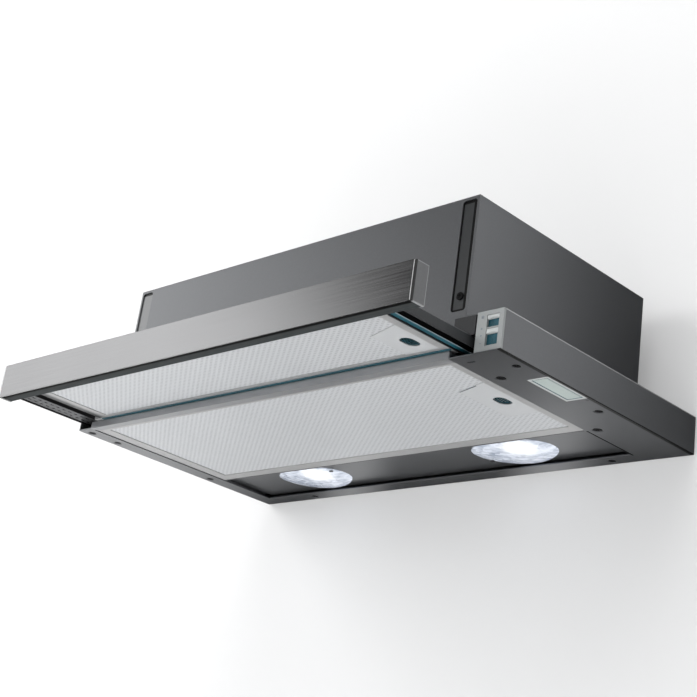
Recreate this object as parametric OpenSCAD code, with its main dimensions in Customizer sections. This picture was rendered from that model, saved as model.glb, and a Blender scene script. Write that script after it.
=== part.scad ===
// Built-in pull-out range hood, in millimetres.
// X points to the right seen from the front, Y points to the wall and Z points up.
// The origin is the middle of the lower edge of the face that meets the wall.
// The pull-out is drawn fully extended, with its filters latched.

/* [Chassis] */
// Width of the chassis
chassis_w = 598; // [560:1:900]
// Depth of the chassis from its front to the wall
chassis_d = 293; // [288:1:340]
// Height of the chassis
chassis_h = 38; // [37:1:60]
// Thickness of the chassis and housing sheet
sheet = 1.2; // [0.8:0.1:1.6]
// Width of the left strip of the underside
left_strip_w = 22; // [20:1:26]
// Width of the right strip of the underside
right_strip_w = 57; // [55:1:70]
// Depth of the strip of the underside along the wall
rear_strip_d = 20; // [16:1:22]
// Depth of the rail under the front edge
cross_rail_d = 10; // [8:1:14]
// Height of the rail under the front edge
cross_rail_h = 7.5; // [7:0.1:7.6]
// Radius of the holes for the screws into the cabinet
cabinet_hole_r = 2.25; // [1.5:0.05:3]
// Distance between the two cabinet screws of one side
cabinet_hole_pitch = 180; // [100:1:230]

/* [Housing] */
// Width of the ledge of the chassis beside the housing
ledge_w = 52; // [40:1:70]
// Height of the upper housing above the chassis
housing_h = 125; // [122:1:180]
// Distance from the wall to the housing
housing_back = 24; // [10:1:40]
// Distance from the chassis front to the housing
housing_front_gap = 11; // [6:1:16]
// How far the housing reaches down into the chassis
skirt_h = 8; // [5:0.5:9]
// Width of the recess of a side clamp
clamp_w = 17; // [12:1:24]
// Height of the recess above the chassis
clamp_low = 12; // [8:1:40]
// Distance from the recess to the top of the housing
clamp_high = 3; // [2:0.5:30]

/* [Pull-out] */
// Travel of the pull-out
travel = 93.5; // [60:0.5:94]
// Height of the front bar
bar_h = 36; // [34:1:50]
// Thickness of the front bar
bar_t = 16; // [12:1:24]
// Height of the bar above the level of the underside
bar_low = 1.5; // [1:0.5:4]
// Distance from each end of the bar to the side of the chassis
bar_end_gap = 2; // [0:0.5:6]
// Gap between the closed bar and the chassis
closed_gap = 0.5; // [0.3:0.1:2]
// Height of the underside of the arms
arm_low = 8.5; // [8.4:0.1:9]
// Height of the arms
arm_h = 9; // [8:0.5:9.5]
// Width of the left arm
left_arm_w = 28; // [22:1:30]
// Width of the right arm
right_arm_w = 20; // [20:1:22]
// Thickness of the sheet of the arms
arm_t = 1.2; // [0.8:0.1:1.6]
// Thickness of the plate over the front filter
cover_t = 0.8; // [0.5:0.1:1]
// Depth of the rail behind the front filter
rear_rail_d = 12; // [10:1:16]
// Height of the rail behind the front filter
rear_rail_h = 5; // [4:0.5:5.5]

/* [Ball slides] */
// Width of an outer rail
slide_w = 20; // [18:0.5:20]
// Thickness of the rails
rail_t = 1.2; // [1:0.1:1.4]
// Diameter of the balls
ball_d = 3.2; // [2.8:0.1:3.4]
// Radial clearance of a ball in its tracks
ball_play = 0.1; // [0.05:0.01:0.15]
// Number of balls in a row
balls_per_row = 6; // [4:1:8]
// Distance from the chassis front to the inner rails while the bar is out
rail_setback = 5; // [3:0.5:12]

/* [Filters] */
// Height of the underside of the main filter
main_low = 0.8; // [0.6:0.1:0.9]
// Thickness of the main filter
main_t = 6.2; // [5.5:0.1:6.4]
// Thickness of the front filter
front_t = 5; // [4.5:0.1:5.4]
// Thickness of the frame strip
frame_t = 0.8; // [0.5:0.1:0.9]
// Width of the frame at the latch end
frame_right = 9; // [7:1:12]
// Width of the frame at the hinge end
frame_left = 16; // [10:1:20]
// Width of the frame along its front
frame_front = 3; // [2:0.5:6]
// Width of the main frame along the lamps
frame_rear = 13; // [8:1:20]
// Pitch of the pleats in the filter mesh
pleat_pitch = 9; // [6:0.5:16]
// Radius of a filter's hinge pins
hinge_pin_r = 1.2; // [1:0.05:1.3]
// Radial clearance of the hinge pins
pin_play = 0.08; // [0.04:0.01:0.1]
// Travel of a filter latch
latch_travel = 6; // [3:0.5:7]
// Length of the finger opening of a latch
finger_l = 20; // [18:1:30]
// Width of the finger opening of a latch
finger_w = 14; // [12:1:18]
// Width of a latch plate
latch_plate_w = 38; // [36:1:50]

/* [Controls] */
// Width of the control panel
panel_w = 29; // [27:0.5:29.5]
// Thickness of the control panel
panel_t = 2.5; // [1.5:0.1:3]
// Width of the switch windows
window_w = 13.2; // [9:0.1:13.4]
// Travel of the light switch
light_travel = 7.5; // [4:0.5:7.6]
// Travel of the fan switch
fan_travel = 10.6; // [6:0.2:10.8]

/* [Lamps] */
// Length of a lens
lens_l = 98; // [80:1:110]
// Width of a lens
lens_w = 70; // [60:0.5:70]
// Height of the lamp panel above the underside
lamp_panel_z = 5; // [3:0.1:5.2]
// Distance from the centre to the left lamp
lamp_left_x = 160; // [100:1:200]
// Distance from the centre to the right lamp
lamp_right_x = 128; // [80:1:180]

/* [Blower] */
// Outer radius of the impeller
impeller_r = 44; // [36:1:44]
// Length of the impeller
impeller_w = 120; // [90:1:132]
// Number of blades
blades = 32; // [16:1:40]
// Width of the scroll casing
scroll_w = 152; // [150:1:180]
// Wall of the scroll casing
scroll_t = 2; // [1.5:0.1:2.5]
// Radius of the motor
motor_r = 29; // [24:1:30]
// Radius of the shaft
shaft_r = 4; // [3:0.1:5]
// Radial clearance of the shaft in the motor
shaft_play = 0.05; // [0.02:0.01:0.1]

/* [Duct collar] */
// Outer radius of the collar
duct_r = 59.5; // [48:0.5:60]
// Height of the collar above the housing
duct_h = 35; // [30:1:36]
// Wall of the collar
duct_t = 2; // [1.5:0.1:3]

/* [Hidden] */
$fn = 64;

// Colours
dark_sheet = [0.25, 0.26, 0.27];
light_sheet = [0.62, 0.62, 0.61];
satin_steel = [0.68, 0.68, 0.68];
zinc = [0.6, 0.6, 0.6];
mesh_grey = [0.74, 0.76, 0.77];
white = [0.85, 0.87, 0.86];
teal = [0.08, 0.33, 0.4];
black = [0.06, 0.06, 0.06];
silver = [0.74, 0.76, 0.76];
glass = [0.9, 0.93, 0.95, 0.5];
brass = [0.75, 0.6, 0.3];

// Smallest gap between pieces that move past each other
gap = 0.3;
// Overlap of a cutting body beyond the face that it cuts
cut = 1;
// Radii of the heads of the screws of the underside
small_head_r = 3.8;
large_head_r = 4.6;
// Depth of a dish round such a screw, and how far it reaches beyond the head
dish_h = 0.4;
dish_w = 1;
// Reach of the screws of the underside
screw_l = 4.6;

// Chassis
half_w = chassis_w / 2;
front = -chassis_d;
left_edge = -half_w + left_strip_w;
right_edge = half_w - right_strip_w;
strip_lip_h = 7;

// Housing
hood_half = half_w - ledge_w;
hood_front = front + housing_front_gap;
hood_back = -housing_back;
hood_bottom = chassis_h - skirt_h;
hood_top = chassis_h + housing_h;
hood_lip = 10;
clamp_edge = 2.5;
clamp_plate_t = 1.5;
clamp_depth = 30;
clamp_z = chassis_h + clamp_low;
clamp_l = housing_h - clamp_low - clamp_high;
clamp_screw_z = clamp_z + 15;

// Lamp panel
lamp_panel_d = 73.5;
lamp_panel_lap = 2.5;
lamp_panel_y0 = -rear_strip_d - lamp_panel_d;
lamp_panel_y1 = -rear_strip_d + lamp_panel_lap;
lamp_y = lamp_panel_y0 + sheet + gap + lens_w / 2;
lamp_xs = [-lamp_left_x, lamp_right_x];
lamp_hole_inset = 7;
lens_t = 2;
lens_low = 0.3;
lens_end_r = 0.37 * lens_w;
lens_end_x = lens_l / 2 - lens_end_r;
lens_side_r = (pow(lens_end_x, 2) + pow(lens_w / 2, 2) - pow(lens_end_r, 2)) / (lens_w - 2 * lens_end_r);
reflector_top = lamp_panel_z + 21;
bulb_r = 4.7;

// Pull-out, drawn extended
bar_half = half_w - bar_end_gap;
bar_back = front - closed_gap - travel;
bar_front = bar_back - bar_t;
bar_face_t = 1.2;
bar_wall = 1.5;
bar_inset = 0.8;
end_cap_t = 2;
arm_top = arm_low + arm_h;
left_arm_x0 = -half_w + 2;
left_arm_x1 = left_arm_x0 + left_arm_w;
right_arm_x0 = right_edge + 3;
right_arm_x1 = right_arm_x0 + right_arm_w;
arm_rear = -19.5 - travel;
rear_rail_y0 = front - 3;
rear_rail_y1 = rear_rail_y0 + rear_rail_d;
runner_t = 0.8;
runner_low = arm_low + 1;

// Covers over the front ends of the slides
cover_d = housing_front_gap - sheet - gap;
cover_wall = 1.5;
cover_low = arm_top + cover_t + gap;

// Ball slides, one over each arm
slide_xs = [(left_arm_x0 + left_arm_x1) / 2, (right_arm_x0 + right_arm_x1) / 2];
slide_top = chassis_h - sheet;
ball_r = ball_d / 2;
track_r = ball_r + ball_play;
rail_gap = 2.6;
outer_half = slide_w / 2;
outer_inside = outer_half - rail_t;
ball_x = outer_inside - rail_gap / 2;
inner_half = outer_inside - rail_gap;
ball_z = arm_top + 6;
inner_rail_top = ball_z + 3.2;
cage_t = 1;
cage_top = inner_rail_top + gap + cage_t;
rail_web_z = cage_top + gap + 0.4;
outer_rail_y0 = front + 17;
outer_rail_y1 = -14;
inner_rail_y1 = arm_rear;
inner_rail_y0 = front + rail_setback;
cage_end_gap = 1.6;
cage_y0 = inner_rail_y0 + travel / 2 + cage_end_gap;
cage_y1 = inner_rail_y1 - cage_end_gap;
cage_l = cage_y1 - cage_y0;
ball_pitch = (cage_l - 15) / (balls_per_row - 1);

// Filters
main_x0 = left_edge + 0.8;
main_x1 = right_edge - 0.6;
main_y0 = front + cross_rail_d + 0.5;
main_y1 = lamp_panel_y0 - 1;
main_pin = [main_x0 + 3, main_low + main_t / 2];
main_latch_y = (main_y0 + main_y1) / 2;
main_plate_front = 45;
main_plate_rear = 37;
front_low = arm_low + 0.5;
front_x0 = left_arm_x1 + 10;
front_x1 = right_arm_x0 - 0.6;
front_y0 = bar_back + 0.6;
front_y1 = rear_rail_y0 - 0.6;
front_pin = [front_x0 + 2.5, front_low + 2.2];
front_latch_y = front_y1 - 24;
front_plate_reach = 35;
pin_reach = 3.5;
latch_floor = 0.3;
nose_reach = 0.3;
nose_half = 6;

// Controls
panel_x0 = half_w - panel_w;
window_x = half_w - 11.4;
light_window = [22.5, 34];
fan_window = [5.9, 21.3];
light_knob_h = 3.4;
fan_knob_h = 4.3;
knob_play = 0.3;
stem_half = 1.2;
block_y0 = front + panel_t;
panel_back = block_y0 + 2;
block_y1 = front + 31;
block_wall = 1.2;
label_x = [right_edge + 31.5, half_w - 2.5];
label_y = [front + 68, front + 126];

// Blower
blower_y = -142;
blower_z = chassis_h + 59;
scroll_half = scroll_w / 2;
tongue_angle = 55;
tongue_r = impeller_r + 4;
spiral_r = impeller_r + 18;
spiral_turn = 235;
inlet_r = impeller_r - 6;
blade_inner_r = impeller_r - 8;
blade_t = 0.8;
blade_curve_r = 7;
hub_t = 4;
impeller_half = impeller_w / 2;
motor_x0 = -impeller_half - 8;
motor_x1 = -8;
motor_bore_l = 22;
throat_half = duct_r - duct_t + 1;
duct_shift = -spiral_r + throat_half - 13;
duct_y = blower_y + duct_shift;

// Collar
flange_r = duct_r + 12;
flange_t = 1.5;
collar_hole_r = 1.8;
flap_r = duct_r - duct_t - 1;
flap_pin_r = 1.4;
flap_pin_y = 5;
flap_pin_z = hood_top + 9;
flap_t = 1.2;
flap_barrel_r = 2.5;
ledge_reach = 3;
gland_x = hood_half - 57;
gland_y = -60;
gland_bore_r = 4;
gland_r = 7;
gland_flange_r = 11;
gland_h = 9;
gland_depth = 6;

// Wiring
terminal_box_w = 30;
terminal_box_d = 52;
terminal_box_h = 38;
capacitor_r = 15;
capacitor_l = 62;

// A block between two corners
module block(lo, hi) {
    translate(lo)
        cube([hi.x - lo.x, hi.y - lo.y, hi.z - lo.z]);
}

// A flat rectangle between two corners
module rect(lo, hi) {
    translate(lo)
        square([hi.x - lo.x, hi.y - lo.y]);
}

// A section drawn in X and Z, drawn out along Y
module along_y(y0, y1) {
    translate([0, y1, 0])
        rotate([90, 0, 0])
            linear_extrude(y1 - y0)
                children();
}

// A section drawn in Y and Z, drawn out along X
module along_x(x0, x1) {
    translate([x0, 0, 0])
        rotate([90, 0, 90])
            linear_extrude(x1 - x0)
                children();
}

// A cylinder along Y
module rod_y(x, z, r, y0, y1) {
    translate([x, y1, z])
        rotate([90, 0, 0])
            cylinder(h = y1 - y0, r = r);
}

// A cylinder along X
module rod_x(y, z, r, x0, x1) {
    translate([x0, y, z])
        rotate([0, 90, 0])
            cylinder(h = x1 - x0, r = r);
}

// A flat oval along its first direction
module oval(l, w) {
    for (s = [-1, 1])
        translate([s * (l - w) / 2, 0])
            circle(d = w);
    square([l - w, w], center = true);
}

// Where the screws of the underside sit: x, y and radius of the head
function underside_screw_places() = [
    [half_w - 13, front + 38, small_head_r],
    [right_edge + 13, front + 56, large_head_r],
    [half_w - 14, lamp_panel_y0 - 40.5, small_head_r],
    [right_edge + 12, lamp_panel_y0 + 1.5, large_head_r],
    [-half_w + 9, front + 12, small_head_r],
    [-half_w + 9, front + 48, small_head_r],
    [-half_w + 9, lamp_panel_y0 - 11.5, small_head_r],
    [right_edge - 30, -8, small_head_r],
    [left_edge + 68, -8, small_head_r]
];

// Where the screws into the cabinet pass the chassis: x and y
function cabinet_holes(x) = [for (s = [-1, 1]) [x, front / 2 + s * cabinet_hole_pitch / 2]];
cabinet_left_x = slide_xs[0] + outer_half + 11;
cabinet_right_x = slide_xs[1] + outer_half + 7;

// Half section of a countersunk screw in its dish, or of its hole where play isn't 0
module countersunk(x, y, head_r, play) {
    dish = play > 0 ? [[0, -cut], [head_r + dish_w, -cut], [head_r + dish_w, dish_h]] : [[0, dish_h]];
    translate([x, y, 0])
        rotate_extrude()
            polygon(concat(dish, [[head_r + play, dish_h], [head_r + play, dish_h + 0.2],
                                  [head_r / 2 + play, sheet], [head_r / 2 + play, dish_h + screw_l],
                                  [0, dish_h + screw_l]]));
}

// One side of the chassis: outer wall, top flange with its lip, strip of the underside
module side_channel(side, strip_edge, y0) {
    wall_x = side * (half_w - sheet);
    along_y(y0, 0) {
        rect([min(wall_x, side * half_w), 0], [max(wall_x, side * half_w), chassis_h]);
        rect([min(strip_edge, side * half_w), 0], [max(strip_edge, side * half_w), sheet]);
        rect([min(side * hood_half, side * half_w), chassis_h - sheet],
             [max(side * hood_half, side * half_w), chassis_h]);
    }
    lip_x = side * (hood_half + sheet);
    block([min(lip_x, side * hood_half), hood_front, hood_bottom],
          [max(lip_x, side * hood_half), hood_back, chassis_h]);
}

module screw_holes() {
    for (p = underside_screw_places())
        countersunk(p[0], p[1], p[2], 0.05);
}

module cabinet_screw_holes() {
    for (p = concat(cabinet_holes(cabinet_left_x), cabinet_holes(cabinet_right_x)))
        translate([p.x, p.y, chassis_h - sheet - cut])
            cylinder(h = sheet + 2 * cut, r = cabinet_hole_r);
}

module left_side_channel() {
    color(dark_sheet)
        difference() {
            side_channel(-1, left_edge, front);
            screw_holes();
            cabinet_screw_holes();
        }
}

module right_side_channel() {
    slot_l = 9;
    slot_w = 2.5;
    color(dark_sheet)
        difference() {
            union() {
                side_channel(1, right_edge, front);
                block([right_edge, front, 0], [right_edge + sheet, lamp_panel_y0 - 1.5, strip_lip_h]);
            }
            block([panel_x0, front - cut, sheet], [half_w + cut, front + panel_t, chassis_h + cut]);
            screw_holes();
            cabinet_screw_holes();
            translate([right_edge + 14, front + 14, -cut])
                linear_extrude(sheet + 2 * cut)
                    oval(slot_l, slot_w);
            block([label_x[0], label_y[0], -cut], [label_x[1], label_y[1], sheet + cut]);
        }
}

// Upper part of the chassis front, between the covers of the two slides
module front_top_rail() {
    color(dark_sheet) {
        along_x(-hood_half, hood_half) {
            rect([front, chassis_h - sheet], [hood_front, chassis_h]);
            rect([hood_front - sheet, hood_bottom], [hood_front, chassis_h]);
        }
        along_x(left_arm_x1 + 1, right_arm_x0 - 0.5)
            rect([front, cover_low], [front + sheet, chassis_h - sheet]);
    }
}

module rear_cross_member() {
    color(dark_sheet) {
        difference() {
            along_x(left_edge, right_edge)
                rect([-rear_strip_d, 0], [0, sheet]);
            screw_holes();
        }
        along_x(-half_w + sheet, half_w - sheet)
            rect([-sheet, sheet], [0, chassis_h - sheet]);
        along_x(-hood_half, hood_half) {
            rect([hood_back, chassis_h - sheet], [0, chassis_h]);
            rect([hood_back, hood_bottom], [hood_back + sheet, chassis_h]);
        }
    }
}

// Channel under the front edge, open upwards, which carries the front hinge pin of the main filter
module front_cross_rail() {
    wall = 1.5;
    color(light_sheet)
        difference() {
            along_x(left_edge, right_edge) {
                rect([front, 0], [front + cross_rail_d * 0.55, sheet]);
                rect([front + cross_rail_d * 0.45, sheet * 0.5], [front + cross_rail_d, sheet * 1.5]);
                rect([front, 0], [front + sheet, cross_rail_h]);
                rect([front + cross_rail_d - wall, sheet * 0.5], [front + cross_rail_d, cross_rail_h]);
            }
            rod_y(main_pin.x, main_pin.y, hinge_pin_r + pin_play, front + cross_rail_d - wall - cut,
                  front + cross_rail_d + cut);
        }
}

// Upper housing

module clamp_opening(side) {
    along_y(hood_front - cut, hood_front + sheet + cut)
        translate([side * (hood_half - clamp_edge - clamp_w / 2), clamp_z + clamp_l / 2])
            union() {
                square([clamp_w, clamp_l - 6], center = true);
                square([clamp_w - 6, clamp_l], center = true);
                for (sx = [-1, 1], sz = [-1, 1])
                    translate([sx * (clamp_w / 2 - 3), sz * (clamp_l / 2 - 3)])
                        circle(r = 3);
            }
}

module housing_front() {
    color(dark_sheet)
        difference() {
            block([-hood_half, hood_front, hood_bottom], [hood_half, hood_front + sheet, hood_top - sheet]);
            clamp_opening(-1);
            clamp_opening(1);
        }
}

module housing_side(side) {
    x0 = side * hood_half;
    x1 = side * (hood_half - sheet);
    block([min(x0, x1), hood_front + sheet, hood_bottom],
          [max(x0, x1), hood_back - sheet, hood_top - sheet]);
}

module housing_left() {
    color(dark_sheet)
        housing_side(-1);
}

module housing_right() {
    color(dark_sheet)
        housing_side(1);
}

module housing_back() {
    color(dark_sheet)
        block([-hood_half, hood_back - sheet, hood_bottom], [hood_half, hood_back, hood_top - sheet]);
}

// Top sheet with a folded lip on each side and the holes of the collar and the cable gland
module housing_top() {
    color(dark_sheet)
        difference() {
            union() {
                block([-hood_half, hood_front, hood_top - sheet], [hood_half, hood_back, hood_top]);
                for (s = [-1, 1]) {
                    x0 = s * (hood_half - sheet);
                    x1 = s * (hood_half - 2 * sheet);
                    block([min(x0, x1), hood_front + 60, hood_top - hood_lip],
                          [max(x0, x1), hood_back - sheet, hood_top]);
                }
                block([-hood_half + clamp_w + 12, hood_front + sheet, hood_top - hood_lip],
                      [hood_half - clamp_w - 12, hood_front + 2 * sheet, hood_top]);
                block([-hood_half + 2 * sheet, hood_back - 2 * sheet, hood_top - hood_lip],
                      [hood_half - 2 * sheet, hood_back - sheet, hood_top]);
            }
            translate([0, duct_y, hood_top - sheet - cut])
                cylinder(h = sheet + 2 * cut, r = duct_r - duct_t);
            translate([gland_x, gland_y, hood_top - sheet - cut])
                cylinder(h = sheet + 2 * cut, r = gland_r);
            collar_screw_shanks(hood_top - sheet - cut, hood_top + cut, collar_hole_r);
        }
}

module collar_screw_shanks(z0, z1, r) {
    for (a = [45:90:315])
        translate([(flange_r - 5) * cos(a), duct_y + (flange_r - 5) * sin(a), z0])
            cylinder(h = z1 - z0, r = r);
}

// Angle plates behind the recesses of the front, which grip the cabinet
module side_clamps() {
    y0 = hood_front + sheet;
    color(black)
        for (s = [-1, 1]) {
            x0 = s * (hood_half - sheet);
            x1 = s * (hood_half - clamp_edge - clamp_w - 2);
            x2 = s * (hood_half - sheet - clamp_plate_t);
            difference() {
                union() {
                    block([min(x0, x1), y0, clamp_z - 2],
                          [max(x0, x1), y0 + clamp_plate_t, clamp_z + clamp_l]);
                    block([min(x0, x2), y0, clamp_z - 2],
                          [max(x0, x2), y0 + clamp_depth, clamp_z + clamp_l]);
                }
                rod_y(s * (hood_half - clamp_edge - clamp_w / 2), clamp_screw_z, 2.1, y0 - cut,
                      y0 + clamp_plate_t + cut);
            }
        }
}

module clamp_screws() {
    y0 = hood_front + sheet;
    head_r = 3.8;
    head_h = 1;
    color(zinc)
        for (s = [-1, 1])
            translate([s * (hood_half - clamp_edge - clamp_w / 2), y0, clamp_screw_z])
                rotate([90, 0, 0])
                    difference() {
                        union() {
                            cylinder(h = head_h, r = head_r);
                            translate([0, 0, -14])
                                cylinder(h = 14, r = 2);
                        }
                        for (turn = [0, 90])
                            rotate([0, 0, turn])
                                translate([-2.2, -0.4, head_h - 0.6])
                                    cube([4.4, 0.8, 1]);
                    }
}

// A hollow cover over the front end of a slide
module rail_cover(x0, x1) {
    top = chassis_h - sheet;
    difference() {
        block([x0, front, cover_low], [x1, front + cover_d, top]);
        block([x0 + cover_wall, front + cover_wall, cover_low - cut],
              [x1 - cover_wall, front + cover_d + cut, top - cover_wall]);
    }
}

module left_rail_cover() {
    color(black)
        rail_cover(-half_w + sheet, left_arm_x1 + 1);
}

module right_rail_cover() {
    color(black)
        rail_cover(right_arm_x0 - 0.5, panel_x0 - 1.5);
}

// Controls

module control_panel() {
    rim = 1.2;
    color(silver)
        difference() {
            block([panel_x0, front, sheet], [half_w, panel_back, chassis_h]);
            block([panel_x0 + rim, front + panel_t, sheet + rim], [half_w, panel_back + cut, chassis_h]);
            block([half_w - sheet, front + panel_t, 0], [half_w + cut, panel_back + cut, chassis_h]);
            block([panel_x0 - cut, front + panel_t, chassis_h - sheet],
                  [half_w + cut, panel_back + cut, chassis_h + cut]);
            for (w = [light_window, fan_window])
                block([window_x - window_w / 2, front - cut, w[0]],
                      [window_x + window_w / 2, front + panel_t + cut, w[1]]);
        }
}

module switch_block() {
    x0 = panel_x0 + 1.5;
    x1 = half_w - sheet;
    color(teal)
        difference() {
            block([x0, block_y0, sheet + 2], [x1, block_y1, chassis_h - sheet]);
            block([x0 + block_wall, block_y0 + block_wall, sheet + 2 + block_wall],
                  [x1 - block_wall, block_y1 - block_wall, chassis_h - sheet - block_wall]);
            for (w = [light_window, fan_window])
                block([window_x - stem_half - gap, block_y0 - cut, w[0] + gap],
                      [window_x + stem_half + gap, block_y0 + block_wall + cut, w[1] - gap]);
        }
}

// A slide-switch knob with its stem, its top at z1
module switch_knob(z1, h) {
    half = window_w / 2 - knob_play;
    y0 = front + 0.3;
    y1 = block_y0 - 0.2;
    dip = 1.2;
    difference() {
        union() {
            block([window_x - half, y0, z1 - h], [window_x + half, y1, z1]);
            block([window_x - stem_half, y0, z1 - h + 0.5],
                  [window_x + stem_half, block_y0 + 4, z1 - 0.5]);
        }
        rod_y(window_x, z1 - h - 11, 12, y0 - cut, y0 + dip);
    }
}

module light_switch_knob() {
    color(white)
        switch_knob(light_window[1] - knob_play, light_knob_h);
}

module fan_switch_knob() {
    color(white)
        switch_knob(fan_window[1] - knob_play, fan_knob_h);
}

// Bare plate with a raised rim, let into the right strip of the underside
module plain_label_plate() {
    play = 0.15;
    rim = 2.5;
    color(white)
        difference() {
            union() {
                block([label_x[0] + play, label_y[0] + play, 0.1],
                      [label_x[1] - play, label_y[1] - play, sheet + 0.8]);
                block([label_x[0] - 2, label_y[0] - 2, sheet],
                      [half_w - sheet - play, label_y[1] + 2, sheet + 0.8]);
            }
            block([label_x[0] + play + rim, label_y[0] + play + rim, -cut],
                  [label_x[1] - play - rim, label_y[1] - play - rim, 0.6]);
        }
}

// Lamps

module lamp_panel() {
    x0 = left_edge + 0.5;
    x1 = right_edge - 4;
    wall_top = arm_low - 0.5;
    foot = 8;
    color(dark_sheet)
        difference() {
            union() {
                block([x0 - foot, lamp_panel_y0 + 6, lamp_panel_z],
                      [x1 + foot + 4, lamp_panel_y1 - 6, lamp_panel_z + sheet]);
                block([x0, lamp_panel_y0, lamp_panel_z], [x1, lamp_panel_y1, lamp_panel_z + sheet]);
                block([x0, lamp_panel_y0, main_low], [x1, lamp_panel_y0 + sheet, wall_top]);
                block([x0 - foot, lamp_panel_y0 + 6, sheet],
                      [x0 - foot + sheet, lamp_panel_y1 - 6, lamp_panel_z + sheet]);
                block([x1 + foot + 4 - sheet, lamp_panel_y0 + 6, sheet],
                      [x1 + foot + 4, lamp_panel_y1 - 6, lamp_panel_z + sheet]);
            }
            for (x = lamp_xs)
                translate([x, lamp_y, lamp_panel_z - cut])
                    linear_extrude(sheet + 2 * cut)
                        lens_outline(lamp_hole_inset);
            rod_y(main_pin.x, main_pin.y, hinge_pin_r + pin_play, lamp_panel_y0 - cut,
                  lamp_panel_y0 + sheet + cut);
        }
}

// Outline of a lens, or of what sits inside it by a given inset: an oval of four arcs
module lens_outline(inset) {
    side_y = lens_side_r - lens_w / 2;
    share = (lens_side_r - inset) / (lens_side_r - lens_end_r);
    for (s = [-1, 1])
        translate([s * lens_end_x, 0])
            circle(r = lens_end_r - inset);
    intersection() {
        translate([0, side_y])
            circle(r = lens_side_r - inset);
        translate([0, -side_y])
            circle(r = lens_side_r - inset);
        square([2 * lens_end_x * share, lens_w], center = true);
    }
}

// A body over the outline of a lens less an inset: its end is domed along Z and reaches the height tip,
// the dome meets the ends of the oval at the height edge, and the body's other end is flat at base
module lens_dome(inset, tip, edge, base) {
    reach = lens_l / 2 - inset;
    rise = abs(edge - tip);
    r = (reach * reach + rise * rise) / (2 * rise);
    intersection() {
        translate([0, 0, min(tip, base)])
            linear_extrude(abs(tip - base))
                lens_outline(inset);
        translate([0, 0, tip < edge ? tip + r : tip - r])
            sphere(r = r, $fn = 360);
    }
}

// Lenses of glass, hollow, with a collar that snaps into the lamp panel
module lamp_lenses() {
    seat = lamp_panel_z;
    wall = 2 * lens_t;
    collar_t = 1.6;
    collar_h = 3;
    color(glass)
        for (x = lamp_xs)
            translate([x, lamp_y, 0]) {
                difference() {
                    lens_dome(0, lens_low, seat, seat);
                    lens_dome(wall, lens_low + lens_t, seat + cut, seat + cut);
                }
                translate([0, 0, seat - 0.5])
                    linear_extrude(collar_h + 0.5)
                        difference() {
                            lens_outline(lamp_hole_inset + gap);
                            lens_outline(lamp_hole_inset + gap + collar_t);
                        }
            }
}

// Dished reflectors with a socket for the bulb
module lamp_reflectors() {
    seat = lamp_panel_z + sheet;
    wall = 1;
    inset = lamp_hole_inset - wall - 0.2;
    rim = 1.5;
    rim_h = 4;
    neck_r = 12;
    neck_h = 8;
    color(silver)
        for (x = lamp_xs)
            translate([x, lamp_y, 0])
                difference() {
                    union() {
                        lens_dome(inset, reflector_top, seat + rim_h, seat);
                        translate([0, 0, reflector_top - 2 * wall])
                            cylinder(h = neck_h + 2 * wall, r = neck_r);
                        translate([0, 0, seat])
                            linear_extrude(wall)
                                lens_outline(inset - rim);
                    }
                    lens_dome(inset + wall, reflector_top - wall, seat + rim_h - wall, seat - cut);
                    translate([0, 0, reflector_top - 3 * wall])
                        cylinder(h = neck_h + 4 * wall, r = bulb_r + gap);
                }
}

module lamp_bulbs() {
    color(glass)
        for (x = lamp_xs)
            translate([x, lamp_y, 0]) {
                translate([0, 0, reflector_top - 10])
                    cylinder(h = 16, r = bulb_r);
                translate([0, 0, reflector_top - 10])
                    sphere(r = bulb_r);
                for (s = [-1, 1])
                    translate([s * 2, 0, reflector_top + 6])
                        cylinder(h = 4, r = 0.5);
            }
}

module underside_screws() {
    color(zinc)
        for (p = underside_screw_places())
            difference() {
                countersunk(p[0], p[1], p[2], 0);
                for (turn = [0, 90])
                    translate([p[0], p[1], -cut])
                        rotate([0, 0, turn])
                            translate([-p[2] * 0.55, -0.4, 0])
                                cube([p[2] * 1.1, 0.8, cut + dish_h + 0.4]);
            }
}

// Ball slides

// Section of an outer rail: an inverted channel with a ball track in each flank
module outer_rail_section() {
    difference() {
        union() {
            rect([-outer_half, ball_z - 4], [-outer_inside, rail_web_z + rail_t]);
            rect([outer_inside, ball_z - 4], [outer_half, rail_web_z + rail_t]);
            rect([-outer_half, rail_web_z], [outer_half, rail_web_z + rail_t]);
        }
        for (s = [-1, 1])
            translate([s * ball_x, ball_z])
                circle(r = track_r);
    }
}

// Outer rails, hung from the top flanges by hat-shaped brackets
module outer_rails() {
    hat_half = 6;
    hat_l = 20;
    reach = outer_rail_y1 - outer_rail_y0 - hat_l;
    color(zinc)
        for (x = slide_xs)
            translate([x, 0, 0]) {
                along_y(outer_rail_y0, outer_rail_y1)
                    outer_rail_section();
                for (share = [0.05, 0.5, 0.95])
                    along_y(outer_rail_y0 + share * reach, outer_rail_y0 + share * reach + hat_l) {
                        rect([-hat_half, slide_top - rail_t], [hat_half, slide_top]);
                        for (s = [-1, 1])
                            rect([s * (hat_half - rail_t / 2) - rail_t / 2, rail_web_z],
                                 [s * (hat_half - rail_t / 2) + rail_t / 2, slide_top]);
                    }
            }
}

// Section of an inner rail: a channel open upwards that stands on the arm
module inner_rail_section() {
    difference() {
        union() {
            rect([-inner_half, arm_top], [inner_half, arm_top + rail_t]);
            rect([-inner_half, arm_top], [-inner_half + rail_t, inner_rail_top]);
            rect([inner_half - rail_t, arm_top], [inner_half, inner_rail_top]);
        }
        for (s = [-1, 1])
            translate([s * ball_x, ball_z])
                circle(r = track_r);
    }
}

module inner_rails() {
    color(zinc)
        for (x = slide_xs)
            translate([x, 0, 0])
                along_y(inner_rail_y0, inner_rail_y1)
                    inner_rail_section();
}

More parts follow.
